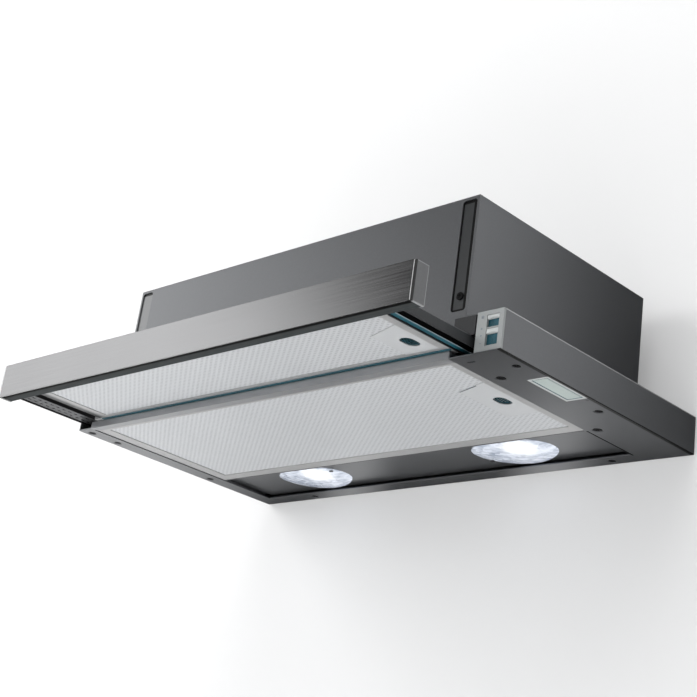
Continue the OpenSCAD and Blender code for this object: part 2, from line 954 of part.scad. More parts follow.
// The balls of one row stand at these depths
function ball_ys() = [for (i = [0:balls_per_row - 1]) cage_y0 + 7.5 + i * ball_pitch];

module ball_cages() {
    hole_r = ball_r + 0.1;
    window_l = ball_pitch - 8;
    color(black)
        for (x = slide_xs)
            translate([x, 0, 0])
                difference() {
                    along_y(cage_y0, cage_y1) {
                        for (s = [-1, 1])
                            rect([s * ball_x - cage_t / 2, ball_z - 3],
                                 [s * ball_x + cage_t / 2, cage_top]);
                        rect([-ball_x, cage_top - cage_t], [ball_x, cage_top]);
                    }
                    for (y = ball_ys())
                        rod_x(y, ball_z, hole_r, -outer_half, outer_half);
                    for (i = [0:balls_per_row - 2])
                        block([-inner_half + 2, ball_ys()[i] + 4, cage_top - cage_t - cut],
                              [inner_half - 2, ball_ys()[i] + 4 + window_l, cage_top + cut]);
                }
}

module cage_balls() {
    color(zinc)
        for (x = slide_xs, s = [-1, 1], y = ball_ys())
            translate([x + s * ball_x, y, ball_z])
                sphere(r = ball_r);
}

// Pull-out

// Section of an arm: a channel open downwards
module arm_section(x0, x1) {
    rect([x0, arm_top - arm_t], [x1, arm_top]);
    rect([x0, arm_low], [x0 + arm_t, arm_top]);
    rect([x1 - arm_t, arm_low], [x1, arm_top]);
}

module left_arm() {
    color(black)
        along_y(bar_back, arm_rear)
            arm_section(left_arm_x0, left_arm_x1);
}

module right_arm() {
    color(dark_sheet)
        along_y(bar_back, arm_rear)
            arm_section(right_arm_x0, right_arm_x1);
}

// Section of a runner strip: a channel open upwards, nested in the arm
module runner_section(x0, x1) {
    rect([x0, runner_low], [x1, runner_low + runner_t]);
    rect([x0, runner_low], [x0 + runner_t, arm_top - arm_t]);
    rect([x1 - runner_t, runner_low], [x1, arm_top - arm_t]);
}

module left_runner() {
    x0 = left_arm_x0 + arm_t + 1.8;
    x1 = left_arm_x1 - arm_t - 1.8;
    pitch = 8;
    hole_l = 4.5;
    hole_w = 2.2;
    y0 = bar_back + 8;
    y1 = arm_rear - 4;
    count = floor((y1 - y0 - 12) / pitch);
    color(zinc)
        difference() {
            along_y(y0, y1)
                runner_section(x0, x1);
            for (i = [0:count], s = [-1, 1])
                translate([(x0 + x1) / 2 + s * (x1 - x0) / 5, y0 + 8 + i * pitch, runner_low - cut])
                    rotate([0, 0, 90])
                        linear_extrude(runner_t + 2 * cut)
                            oval(hole_l, hole_w);
        }
}

module right_runner() {
    x0 = right_arm_x0 + arm_t + 1.3;
    x1 = right_arm_x0 + arm_t + 8.3;
    color(teal)
        along_y(bar_back + 2, arm_rear - 4)
            runner_section(x0, x1);
}

// Plate over the front filter, which leads the air back into the chassis
module arm_cover_plate() {
    color(dark_sheet)
        block([left_arm_x0, bar_back, arm_top], [right_arm_x1, inner_rail_y0 - 1, arm_top + cover_t]);
}

// Rail behind the front filter, an angle with the rear hinge hole of that filter
module pullout_rear_rail() {
    color(light_sheet)
        difference() {
            along_x(left_arm_x1, right_arm_x0) {
                rect([rear_rail_y0, arm_low], [rear_rail_y1, arm_low + 1.2]);
                rect([rear_rail_y0, arm_low], [rear_rail_y0 + 1.5, arm_low + rear_rail_h]);
            }
            rod_y(front_pin.x, front_pin.y, hinge_pin_r + pin_play, rear_rail_y0 - cut,
                  rear_rail_y0 + 1.5 + cut);
        }
}

module pullout_seal() {
    color(teal)
        block([front_x0 + 4, rear_rail_y0, cross_rail_h + 0.4], [front_x1, rear_rail_y0 + 3, arm_low]);
}

module bar_body() {
    low = bar_low + bar_inset;
    high = bar_low + bar_h - bar_inset;
    color(dark_sheet)
        difference() {
            along_x(-bar_half + end_cap_t, bar_half - end_cap_t)
                difference() {
                    rect([bar_front + bar_face_t, low], [bar_back, high]);
                    rect([bar_front + bar_face_t + bar_wall, low + bar_wall],
                         [bar_back - bar_wall, high - bar_wall]);
                }
            rod_y(front_pin.x, front_pin.y, hinge_pin_r + pin_play, bar_back - bar_wall - cut,
                  bar_back + cut);
        }
}

// Satin face with a narrow return along its top
module bar_face() {
    return_d = 5;
    color(satin_steel)
        along_x(-bar_half + end_cap_t, bar_half - end_cap_t) {
            rect([bar_front, bar_low], [bar_front + bar_face_t, bar_low + bar_h]);
            rect([bar_front, bar_low + bar_h - bar_inset],
                 [bar_front + bar_face_t + return_d, bar_low + bar_h]);
        }
}

module bar_end_caps() {
    corner = 1.5;
    color(dark_sheet)
        for (s = [-1, 1]) {
            x0 = s > 0 ? bar_half - end_cap_t : -bar_half;
            along_x(x0, x0 + end_cap_t)
                union() {
                    rect([bar_front + corner, bar_low], [bar_back, bar_low + bar_h]);
                    rect([bar_front, bar_low + corner], [bar_back, bar_low + bar_h - corner]);
                    for (z = [bar_low + corner, bar_low + bar_h - corner])
                        translate([bar_front + corner, z])
                            circle(r = corner);
                }
        }
}

// Filters

// Frame folded from one strip: outer wall, lower and upper flange, and a hinge pin at each end
module filter_frame(lo, hi, rear_w, pin, latch_y) {
    inner_lo = [lo.x + frame_t, lo.y + frame_t, lo.z + frame_t];
    inner_hi = [hi.x - frame_t, hi.y - frame_t, hi.z - frame_t];
    difference() {
        block(lo, hi);
        block(inner_lo, inner_hi);
        block([lo.x + frame_left, lo.y + frame_front, lo.z - cut],
              [hi.x - frame_right, hi.y - rear_w, lo.z + frame_t + cut]);
        block([lo.x + 8, lo.y + frame_front, hi.z - frame_t - cut],
              [hi.x - frame_right, hi.y - frame_front, hi.z + cut]);
        block([hi.x - frame_t - cut, latch_y - nose_half - gap, lo.z + frame_t],
              [hi.x + cut, latch_y + nose_half + gap, latch_high(hi.z) + gap]);
    }
    rod_y(pin.x, pin.y, hinge_pin_r, lo.y - pin_reach, lo.y + frame_t);
    rod_y(pin.x, pin.y, hinge_pin_r, hi.y - frame_t, hi.y + 2.2);
}

// Flat mesh sheet with a pleated layer on it, held in a frame, with a pocket for the latch
module filter_mesh(lo, hi, latch_y, latch_x0) {
    sheet_t = 0.6;
    pleat_t = 0.6;
    x0 = lo.x + frame_t;
    x1 = hi.x - frame_t;
    y0 = lo.y + frame_t;
    y1 = hi.y - frame_t;
    z0 = lo.z + frame_t;
    z1 = hi.z - frame_t;
    low = z0 + sheet_t - 0.1;
    high = z1 - pleat_t;
    pleats = floor((x1 - x0) / pleat_pitch);
    zigzag = [for (i = [0:2 * pleats]) [x0 + i * pleat_pitch / 2, i % 2 == 0 ? low : high]];
    back_zigzag = [for (i = [2 * pleats:-1:0]) [x0 + i * pleat_pitch / 2,
                                               (i % 2 == 0 ? low : high) + pleat_t]];
    difference() {
        union() {
            block([x0, y0, z0], [x1, y1, z0 + sheet_t]);
            along_y(y0, y1)
                polygon(concat(zigzag, back_zigzag));
        }
        block([latch_x0, latch_y - finger_l / 2 - 2, lo.z], [hi.x, latch_y + finger_l / 2 + 2, hi.z]);
    }
}

// Plate round the latch, its front edge cut at a slant, with the oval finger opening
module latch_plate(x1, y0, y1, z0, latch_y) {
    slant = 11;
    color(white)
        translate([0, 0, z0])
            linear_extrude(frame_t)
                difference() {
                    polygon([[x1 - latch_plate_w, y0 + slant], [x1, y0], [x1, y1],
                             [x1 - latch_plate_w, y1]]);
                    translate([latch_centre_x(x1), latch_y])
                        rotate(90)
                            oval(finger_l, finger_w);
                }
}
function latch_centre_x(x1) = x1 - 14.5;
function latch_high(frame_top) = frame_top - frame_t - 0.4;

// Sliding latch: a plate behind the finger opening, a finger ridge and a nose that passes the frame
module filter_latch(frame_x1, latch_y, z0, z1) {
    cx = latch_centre_x(frame_x1 - frame_right);
    x0 = cx - finger_w / 2 - 2.5;
    x1 = frame_x1 - frame_t - 0.3;
    low = z0 + frame_t + latch_floor;
    high = latch_high(z1);
    color(teal) {
        difference() {
            block([x0, latch_y - finger_l / 2 - 1.5, low], [x1, latch_y + finger_l / 2 + 1.5, high]);
            translate([cx, latch_y, low - cut])
                rotate([0, 0, 90])
                    linear_extrude(cut + 1)
                        oval(finger_l - 3, finger_w - 3);
        }
        block([x1 - cut, latch_y - nose_half, low], [frame_x1 + nose_reach, latch_y + nose_half, high]);
        for (i = [-1:1])
            block([cx + 3 * i - 0.6, latch_y - finger_l / 4, low],
                  [cx + 3 * i + 0.6, latch_y + finger_l / 4, low + 1.2]);
    }
}

main_lo = [main_x0, main_y0, main_low];
main_hi = [main_x1, main_y1, main_low + main_t];
front_lo = [front_x0, front_y0, front_low];
front_hi = [front_x1, front_y1, front_low + front_t];

function latch_pocket_x(frame_x1) =
    latch_centre_x(frame_x1 - frame_right) - finger_w / 2 - 2.5 - latch_travel - 0.5;

module main_filter_frame() {
    color(light_sheet)
        filter_frame(main_lo, main_hi, frame_rear, main_pin, main_latch_y);
}

module main_filter_mesh() {
    color(mesh_grey)
        filter_mesh(main_lo, main_hi, main_latch_y, latch_pocket_x(main_x1));
}

module main_latch_plate() {
    latch_plate(main_x1 - frame_right, main_latch_y - main_plate_front, main_latch_y + main_plate_rear,
                main_low, main_latch_y);
}

module main_filter_latch() {
    filter_latch(main_x1, main_latch_y, main_low, main_low + main_t);
}

module front_filter_frame() {
    color(light_sheet)
        filter_frame(front_lo, front_hi, frame_front, front_pin, front_latch_y);
}

module front_filter_mesh() {
    color(mesh_grey)
        filter_mesh(front_lo, front_hi, front_latch_y, latch_pocket_x(front_x1));
}

module front_latch_plate() {
    latch_plate(front_x1 - frame_right, front_latch_y - front_plate_reach, front_y1 - frame_front,
                front_low, front_latch_y);
}

module front_filter_latch() {
    filter_latch(front_x1, front_latch_y, front_low, front_low + front_t);
}

// Blower

// Radius of the scroll at an angle behind the tongue
function scroll_radius(turn) = tongue_r + (spiral_r - tongue_r) * turn / spiral_turn;

// Outline of the air space in Y and Z: the spiral, then the throat up to the top
function scroll_outline(grow) = concat(
    [for (turn = [0:5:spiral_turn]) let (a = tongue_angle - turn, r = scroll_radius(turn) + grow)
        [r * cos(a), r * sin(a)]],
    [[duct_shift - throat_half - grow, throat_top()], [duct_shift + throat_half + grow, throat_top()]]
);
function throat_top() = hood_top - sheet - blower_z;

module scroll_shell(x0, x1, end_x) {
    wall_x0 = min(end_x, end_x - sign(end_x) * scroll_t);
    wall_x1 = max(end_x, end_x - sign(end_x) * scroll_t);
    translate([0, blower_y, blower_z])
        difference() {
            union() {
                along_x(x0, x1)
                    difference() {
                        polygon(scroll_outline(scroll_t));
                        polygon(scroll_outline(0));
                    }
                along_x(wall_x0, wall_x1)
                    polygon(scroll_outline(scroll_t));
                rod_x(0, 0, inlet_r + 4, wall_x0 - (end_x < 0 ? 0 : 4), wall_x1 + (end_x < 0 ? 4 : 0));
            }
            rod_x(0, 0, inlet_r, wall_x0 - 10, wall_x1 + 10);
        }
}

module scroll_left() {
    color(black)
        scroll_shell(-scroll_half, 0, -scroll_half);
}

module scroll_right() {
    color(black)
        scroll_shell(0, scroll_half, scroll_half);
}

// One forward-curved blade in section: a strip of a circle
module blade_section() {
    middle = (impeller_r - 1 + blade_inner_r + 1) / 2;
    translate([middle, 0])
        difference() {
            translate([0, -blade_curve_r + 1.2])
                intersection() {
                    difference() {
                        circle(r = blade_curve_r);
                        circle(r = blade_curve_r - blade_t);
                    }
                    rect([-3.4, 0], [3.4, blade_curve_r]);
                }
        }
}

// Double-inlet impeller: blade rows on both sides of a centre disc, a ring at each end, a hub
module impeller() {
    ring_w = 3;
    hub_r = shaft_r + 6;
    color(silver)
        translate([0, blower_y, blower_z])
            difference() {
                union() {
                    along_x(-impeller_half, impeller_half)
                        for (i = [0:blades - 1])
                            rotate(i * 360 / blades)
                                blade_section();
                    for (x = [-impeller_half, impeller_half - ring_w])
                        along_x(x, x + ring_w)
                            difference() {
                                circle(r = impeller_r);
                                circle(r = blade_inner_r + 4);
                            }
                    along_x(0, 2)
                        circle(r = impeller_r - 1);
                    along_x(-hub_t, 10)
                        circle(r = hub_r);
                }
                rod_x(0, 0, shaft_r, -hub_t - cut, 10 + cut);
            }
}

module motor_shaft() {
    color(zinc)
        rod_x(blower_y, blower_z, shaft_r, motor_x1 - motor_bore_l + 2, 14);
}

// Motor with its end bells, a ring of cooling slots and the bore of its bearing
module motor() {
    slots = 12;
    bell = 8;
    color(zinc)
        difference() {
            union() {
                rod_x(blower_y, blower_z, motor_r, motor_x0 + bell, motor_x1 - bell);
                rod_x(blower_y, blower_z, motor_r - 4, motor_x0, motor_x1 - 2);
                rod_x(blower_y, blower_z, shaft_r + 5, motor_x1 - 3, motor_x1);
            }
            rod_x(blower_y, blower_z, shaft_r + shaft_play, motor_x1 - motor_bore_l, motor_x1 + cut);
            for (i = [0:slots - 1])
                translate([motor_x0 + bell + 6, blower_y, blower_z])
                    rotate([i * 360 / slots, 0, 0])
                        translate([0, motor_r - 1.5, -2])
                            cube([motor_x1 - motor_x0 - 2 * bell - 12, 3, 4]);
        }
}

// Three arms from the motor to a ring on the left inlet
module motor_bracket() {
    ring_x0 = -scroll_half - 2;
    ring_outer = inlet_r + 10;
    hub_outer = motor_r - 6;
    color(zinc)
        translate([0, blower_y, blower_z]) {
            along_x(ring_x0, -scroll_half)
                union() {
                    difference() {
                        circle(r = ring_outer);
                        circle(r = inlet_r + 1);
                    }
                    circle(r = hub_outer);
                    for (a = [90, 210, 330])
                        rotate(a)
                            translate([hub_outer - 4, -4])
                                square([ring_outer - hub_outer, 8]);
                }
            rod_x(0, 0, hub_outer, ring_x0, motor_x0);
        }
}

module run_capacitor() {
    clip_w = 16;
    y = hood_back - sheet - capacitor_r - 2;
    z = chassis_h + 80;
    x0 = -hood_half + 40;
    clip_x = x0 + (capacitor_l - clip_w) / 2;
    reach = capacitor_r + 1;
    color(white) {
        rod_x(y, z, capacitor_r, x0, x0 + capacitor_l);
        block([clip_x, y, z - reach], [clip_x + clip_w, hood_back - sheet, z + reach]);
    }
}

module terminal_box() {
    x1 = hood_half - sheet;
    top = hood_top - 17;
    y0 = gland_y - 36;
    wall = 2;
    lid_rim = 1.5;
    cable_hole_r = 5;
    lo = [x1 - terminal_box_w, y0, top - terminal_box_h];
    hi = [x1, y0 + terminal_box_d, top];
    color(white)
        difference() {
            union() {
                block(lo, hi);
                block([lo.x - wall, lo.y - lid_rim, lo.z - lid_rim],
                      [lo.x, hi.y + lid_rim, hi.z + lid_rim]);
            }
            block([lo.x + wall, lo.y + wall, lo.z + wall], [hi.x - wall, hi.y - wall, hi.z - wall]);
            translate([(lo.x + hi.x) / 2, (lo.y + hi.y) / 2, hi.z - wall - cut])
                cylinder(h = wall + 2 * cut, r = cable_hole_r);
        }
}

// Bush in the housing top for the supply cable
module cable_gland() {
    color(black)
        translate([gland_x, gland_y, 0])
            rotate_extrude()
                polygon([[gland_bore_r, hood_top - sheet - gland_depth],
                         [gland_r + 2, hood_top - sheet - gland_depth],
                         [gland_r + 2, hood_top - sheet], [gland_r, hood_top - sheet], [gland_r, hood_top],
                         [gland_flange_r, hood_top], [gland_flange_r, hood_top + 2],
                         [gland_r + 1, hood_top + 3], [gland_r, hood_top + gland_h],
                         [gland_bore_r, hood_top + gland_h]]);
}

// Duct collar with its flange, a ledge under the flaps and holes in its wall for their pins
module duct_collar() {
    inner = duct_r - duct_t;
    ledge_t = 2;
    ledge_z = flap_pin_z - flap_t / 2 - gap - ledge_t;
    ledge_gap = flap_pin_y + flap_barrel_r + 1.5;
    color(black)
        difference() {
            union() {
                translate([0, duct_y, hood_top])
                    rotate_extrude()
                        polygon([[inner, 0], [flange_r, 0], [flange_r, flange_t], [duct_r, flange_t],
                                 [duct_r, duct_h], [inner, duct_h]]);
                difference() {
                    translate([0, duct_y, ledge_z])
                        rotate_extrude()
                            rect([inner - ledge_reach, 0], [inner + 0.5, ledge_t]);
                    block([-inner, duct_y - ledge_gap, ledge_z - cut],
                          [inner, duct_y + ledge_gap, hood_top + duct_h]);
                }
            }
            for (s = [-1, 1])
                rod_x(duct_y + s * flap_pin_y, flap_pin_z, flap_pin_r + pin_play,
                      -duct_r - cut, duct_r + cut);
            collar_screw_shanks(hood_top - cut, hood_top + flange_t + cut, collar_hole_r);
        }
}

module collar_screws() {
    head_r = 3.4;
    head_h = 2;
    slot_l = 4;
    slot_w = 0.8;
    top = hood_top + flange_t + head_h;
    color(zinc)
        difference() {
            union() {
                collar_screw_shanks(hood_top + flange_t, top, head_r);
                collar_screw_shanks(hood_top - 6, top - 1, collar_hole_r - 0.2);
            }
            for (a = [45:90:315], turn = [0, 90])
                translate([(flange_r - 5) * cos(a), duct_y + (flange_r - 5) * sin(a), top])
                    rotate([0, 0, turn])
                        cube([slot_l, slot_w, head_h], center = true);
        }
}

// Half-round flap with a barrel along its straight edge and a pin at each end.
// Side -1 is the front one and side 1 the back one
module flap(side) {
    pin_y = duct_y + side * flap_pin_y;
    barrel_half = duct_r - duct_t - 2;
    pin_half = duct_r - 0.6;
    intersection() {
        translate([0, duct_y, flap_pin_z - flap_t / 2])
            cylinder(h = flap_t, r = flap_r);
        block([-duct_r, min(pin_y, duct_y + side * duct_r), 0],
              [duct_r, max(pin_y, duct_y + side * duct_r), hood_top + duct_h]);
    }
    rod_x(pin_y, flap_pin_z, flap_barrel_r, -barrel_half, barrel_half);
    rod_x(pin_y, flap_pin_z, flap_pin_r, -pin_half, pin_half);
}

module front_flap() {
    color(silver)
        flap(-1);
}

module back_flap() {
    color(silver)
        flap(1);
}

left_side_channel();
right_side_channel();
front_top_rail();
rear_cross_member();
front_cross_rail();
housing_front();
housing_left();
housing_right();
housing_back();
housing_top();
side_clamps();
clamp_screws();
left_rail_cover();
right_rail_cover();
control_panel();
switch_block();
light_switch_knob();
fan_switch_knob();
plain_label_plate();
lamp_panel();
lamp_lenses();
lamp_reflectors();
lamp_bulbs();
underside_screws();
outer_rails();
ball_cages();
cage_balls();
inner_rails();
left_arm();
right_arm();
left_runner();
right_runner();
arm_cover_plate();
pullout_rear_rail();
pullout_seal();
bar_body();
bar_face();
bar_end_caps();
main_filter_frame();
main_filter_mesh();
main_latch_plate();
main_filter_latch();
front_filter_frame();
front_filter_mesh();
front_latch_plate();
front_filter_latch();
scroll_left();
scroll_right();
impeller();
motor_shaft();
motor();
motor_bracket();
run_capacitor();
terminal_box();
cable_gland();
duct_collar();
collar_screws();
front_flap();
back_flap();
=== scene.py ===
import math

import bmesh
import bpy
from mathutils import Matrix, Vector


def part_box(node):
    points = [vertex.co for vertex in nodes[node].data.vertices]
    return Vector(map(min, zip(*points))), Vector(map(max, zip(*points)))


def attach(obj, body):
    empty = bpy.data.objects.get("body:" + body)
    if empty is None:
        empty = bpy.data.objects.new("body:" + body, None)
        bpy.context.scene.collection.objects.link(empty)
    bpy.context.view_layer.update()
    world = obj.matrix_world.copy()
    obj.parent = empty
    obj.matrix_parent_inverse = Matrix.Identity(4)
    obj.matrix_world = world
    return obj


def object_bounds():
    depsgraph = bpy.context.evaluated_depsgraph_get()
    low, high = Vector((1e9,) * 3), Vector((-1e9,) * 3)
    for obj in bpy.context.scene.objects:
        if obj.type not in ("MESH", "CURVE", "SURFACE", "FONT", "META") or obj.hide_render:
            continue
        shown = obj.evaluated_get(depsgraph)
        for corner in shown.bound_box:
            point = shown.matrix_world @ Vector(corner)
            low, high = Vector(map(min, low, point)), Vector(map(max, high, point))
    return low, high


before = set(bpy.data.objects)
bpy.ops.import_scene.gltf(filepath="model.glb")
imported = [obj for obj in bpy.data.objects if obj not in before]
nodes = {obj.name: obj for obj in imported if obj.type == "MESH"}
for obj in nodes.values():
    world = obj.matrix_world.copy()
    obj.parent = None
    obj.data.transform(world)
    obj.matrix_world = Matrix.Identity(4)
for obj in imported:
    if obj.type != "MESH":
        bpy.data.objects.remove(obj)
cad_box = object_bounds()
MM = 0.001


# Node trees

class Tree:
    """Builds the nodes of one material or of the world."""

    def __init__(self, nt):
        self.nt = nt
        self.place = None
        nt.nodes.clear()

    def add(self, kind, inputs=None, **props):
        """A new node, with its properties and with values or links for its inputs."""
        n = self.nt.nodes.new(kind)
        for k, v in props.items():
            setattr(n, k, v)
        for k, v in (inputs or {}).items():
            self.put(n.inputs[k], v)
        return n

    def put(self, socket, v):
        """Links another node's output to a socket, or sets its value."""
        if isinstance(v, bpy.types.NodeSocket):
            self.nt.links.new(v, socket)
        elif isinstance(v, (tuple, list)) and len(v) == 3 and socket.type == "RGBA":
            socket.default_value = (*v, 1)
        else:
            socket.default_value = v

    def math(self, op, a, b=0.0, c=0.0, clamp=False):
        return self.add("ShaderNodeMath", {0: a, 1: b, 2: c}, operation=op, use_clamp=clamp).outputs[0]

    def both(self, a, b):
        """1 where both masks are 1."""
        return self.math("MULTIPLY", a, b)

    def most(self, *masks):
        """The highest of some masks or strengths."""
        out = masks[0]
        for m in masks[1:]:
            out = self.math("MAXIMUM", out, m)
        return out

    def ramp(self, v, a, b, lo=0.0, hi=1.0):
        """v from a to b becomes lo to hi, smoothly, and stays there outside."""
        n = self.add("ShaderNodeMapRange", {0: v, 1: a, 2: b, 3: lo, 4: hi},
                     interpolation_type="SMOOTHSTEP")
        return n.outputs[0]

    def above(self, v, a, soft=0.3 * MM):
        """1 where v is more than a, else 0, with a soft step."""
        return self.ramp(v, a - soft, a + soft)

    def below(self, v, b, soft=0.3 * MM):
        """1 where v is less than b, else 0, with a soft step."""
        return self.ramp(v, b - soft, b + soft, 1.0, 0.0)

    def band(self, v, a, b):
        """1 where v lies between a and b, else 0."""
        return self.both(self.above(v, a), self.below(v, b))

    def mix(self, f, a, b):
        """Colour a where f is 0, colour b where f is 1."""
        n = self.add("ShaderNodeMix", data_type="RGBA")
        self.put(n.inputs[0], f)
        self.put(n.inputs[6], a)
        self.put(n.inputs[7], b)
        return n.outputs[2]

    def here(self):
        """The place on the object, in metres."""
        if self.place is None:
            self.place = self.add("ShaderNodeTexCoord").outputs["Object"]
        return self.place

    def xyz(self):
        return self.add("ShaderNodeSeparateXYZ", {0: self.here()}).outputs

    def noise(self, scale, stretch=(1, 1, 1), detail=3.0):
        m = self.add("ShaderNodeMapping", {"Vector": self.here(), "Scale": stretch})
        n = self.add("ShaderNodeTexNoise", {"Vector": m.outputs[0], "Scale": scale, "Detail": detail})
        return n.outputs[0]


def scaled(c, k):
    """A colour made lighter or darker."""
    return tuple(min(1.0, v * k) for v in c)


def new_mat(name):
    """An empty material and the tree that fills it."""
    m = bpy.data.materials.new(name)
    m.use_nodes = True
    return m, Tree(m.node_tree)


def finish_mat(t, mat, color, rough, height=None, depth=0.1 * MM, bevel=0.0, **sockets):
    """Ends a material in a Principled shader, with its bump and softened edges."""
    p = t.add("ShaderNodeBsdfPrincipled", {"Base Color": color, "Roughness": rough})
    for k, v in sockets.items():
        t.put(p.inputs[k.replace("_", " ")], v)
    normal = None
    if bevel:
        normal = t.add("ShaderNodeBevel", {"Radius": bevel}, samples=4).outputs[0]
    if height is not None:
        b = t.add("ShaderNodeBump", {"Height": height, "Distance": depth, "Strength": 1.0})
        if normal:
            t.put(b.inputs["Normal"], normal)
        normal = b.outputs[0]
    if normal:
        t.put(p.inputs["Normal"], normal)
    t.put(t.add("ShaderNodeOutputMaterial").inputs[0], p.outputs[0])
    return mat


def surface(name, base, rough, vary=0.08, scale=60, stretch=(1, 1, 1), depth=0.03 * MM,
            rough_vary=0.06, bevel=0.5 * MM, paint=None, **sockets):
    """A painted, plated, brushed or moulded finish: mottled colour, uneven gloss, fine grain. paint(t,
    color) may change the colour from place to place."""
    m, t = new_mat(name)
    cloud = t.noise(6, detail=2.0)
    grain = t.noise(scale, stretch, 4.0)
    mottle = t.math("MULTIPLY_ADD", grain, 0.6, t.math("MULTIPLY", cloud, 0.4))
    color = t.mix(t.ramp(mottle, 0.3, 0.7), scaled(base, 1 - vary), scaled(base, 1 + vary))
    if paint:
        color = paint(t, color)
    r = t.ramp(grain, 0.25, 0.75, max(0.02, rough - rough_vary), min(1.0, rough + rough_vary))
    return finish_mat(t, m, color, r, grain, depth, bevel, **sockets)


# Painted shade and painted highlights on single parts

# Black for painted shade, in gaps and along edges where shadow falls
SHADE_BLACK = (0.003, 0.003, 0.003)


def side_shadow_and_highlight(t, color):
    """Painted shade and light on the chassis: a black painted shadow line along its lower right edge, and
    a bright painted highlight along the upper one.
    """
    x, _, z = t.xyz()
    lo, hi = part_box("right_side_channel")
    # low is the painted shadow line, high the painted highlight line
    low = t.both(t.above(x, hi[0] - 3.2 * MM), t.below(z, lo[2] + 0.9 * MM))
    high = t.both(t.above(x, hi[0] - 0.6 * MM), t.above(z, hi[2] - 0.9 * MM))
    return t.mix(high, t.mix(low, color, SHADE_BLACK), (0.5, 0.505, 0.51))


def clamp_shade_and_light(t, color):
    """Each clamp is edged in black painted shade where it lies back in its slot, and the left one is
    painted lighter, as light as the housing.
    """
    x, _, z = t.xyz()
    lo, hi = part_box("side_clamps")
    slot_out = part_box("housing_front")[1][0] - 4 * MM
    slot_in = slot_out - 17 * MM
    # edge is the painted shade along the edges of the slot
    edge = t.most(t.below(t.math("ABSOLUTE", x), slot_in + 3 * MM), t.above(x, slot_out - 2.6 * MM),
                  t.above(z, hi[2] - 3 * MM), t.below(z, lo[2] + 4.5 * MM))
    # Painted light: the left clamp is made lighter than the right one
    painted_left_light = t.ramp(x, -10 * MM, 10 * MM, 0.6, 0.0)
    return t.mix(edge, t.mix(painted_left_light, color, (0.3, 0.303, 0.308)), SHADE_BLACK)


def cap_shade_and_highlights(t, color):
    """Painted light on an end cap: a bright painted highlight beside the face, a black painted shadow at
    its front edge and a paler painted highlight round its outline.
    """
    x, y, z = t.xyz()
    lo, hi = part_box("bar_end_caps")
    rim_highlight_w = 0.7 * MM
    # rim is the painted highlight round the outline, front the painted shadow at the front edge
    rim = t.most(t.above(y, hi[1] - rim_highlight_w), t.above(z, hi[2] - rim_highlight_w), t.below(z, lo[2] + rim_highlight_w))
    front = t.below(y, lo[1] + 2.2 * MM)
    face_edge_highlight = t.both(t.below(y, lo[1] + 0.4 * MM), t.below(x, hi[0] - 1.4 * MM))
    flank = t.mix(front, t.mix(rim, color, (0.3, 0.305, 0.31)), SHADE_BLACK)
    return t.mix(face_edge_highlight, flank, (0.6, 0.6, 0.61))


def runner_shadow_and_highlight(t, color):
    """The glide strip has a pale painted highlight along its outer edge and a flank in black painted
    shade.
    """
    x = t.xyz()[0]
    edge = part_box("right_runner")[1][0]
    highlit = t.mix(t.band(x, edge - 1.8 * MM, edge - 0.9 * MM), color, (0.35, 0.42, 0.45))
    return t.mix(t.above(x, edge - 0.8 * MM), highlit, SHADE_BLACK)


def front_frame_shadow(t, color):
    """Painted shadow: the left side of the front frame is darkened beside the arm, where the arm shades
    it.
    """
    x = t.xyz()[0]
    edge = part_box("front_filter_frame")[0][0]
    return t.mix(t.ramp(x, edge + 3 * MM, edge + 13 * MM), (0.03, 0.031, 0.032), color)


# Materials

LACQUER = dict(base=(0.165, 0.17, 0.178), rough=0.3, vary=0.04, scale=700, depth=0.002 * MM,
               rough_vary=0.015, Metallic=0.75, Coat_Weight=0.25, Coat_Roughness=0.25)
FILTER_FRAME = dict(base=(0.42, 0.42, 0.42), rough=0.38, scale=300, stretch=(0.08, 1, 1),
                    Metallic=0.3)
TEAL = dict(base=(0.012, 0.085, 0.115), rough=0.35, vary=0.15, scale=500, depth=0.02 * MM)

# Lacquered sheet and printing ink
graphite = surface("graphite_lacquer", **LACQUER)
# The same lacquer with a painted shadow line and a painted highlight line on the chassis side
graphite_painted_lines = surface("graphite_lacquer_painted_lines", paint=side_shadow_and_highlight, **LACQUER)
light_rail = surface("light_grey_sheet", (0.5, 0.505, 0.51), 0.4, scale=300, stretch=(0.05, 1, 1),
                     Metallic=0.3)
grey_rail = surface("grey_sheet", (0.3, 0.305, 0.315), 0.35, scale=300, stretch=(0.05, 1, 1),
                    Metallic=0.4)
arm_grey = surface("arm_dark_grey", (0.045, 0.047, 0.05), 0.42, scale=500, Metallic=0.4)
# Black for the left arm, as painted shade: the right arm is dark grey
black = surface("left_arm_painted_shade", (0.012, 0.012, 0.013), 0.4, scale=400)
clamp_black = surface("clamp_lacquer", (0.075, 0.078, 0.081), 0.31, vary=0.04, scale=500,
                      depth=0.002 * MM, rough_vary=0.02, paint=clamp_shade_and_light, Metallic=0.75,
                      Coat_Weight=0.3, Coat_Roughness=0.2)
latch_white = surface("latch_plate_lacquer", (0.5, 0.51, 0.52), 0.35, vary=0.03, scale=600,
                      depth=0.02 * MM)
pale_plate = surface("pale_plate", (0.42, 0.48, 0.46), 0.4, vary=0.05, scale=300)
motor_paint = surface("motor_paint", (0.2, 0.2, 0.21), 0.45, scale=300, Metallic=0.5)
ink = surface("grey_ink", (0.2, 0.23, 0.26), 0.6, vary=0.12, scale=900)
# Black for a slab of painted shadow in a gap
shadow_gap_mat = surface("painted_gap_shadow", SHADE_BLACK, 0.8, scale=300, bevel=0.0, Specular_IOR_Level=0.03)

# Bare and plated metal
satin = surface("satin_steel", (0.275, 0.276, 0.28), 0.15, vary=0.05, scale=900,
                stretch=(0.012, 1, 1), depth=0.006 * MM, rough_vary=0.04, Metallic=1.0)
aluminium = surface("filter_frame_aluminium", **FILTER_FRAME)
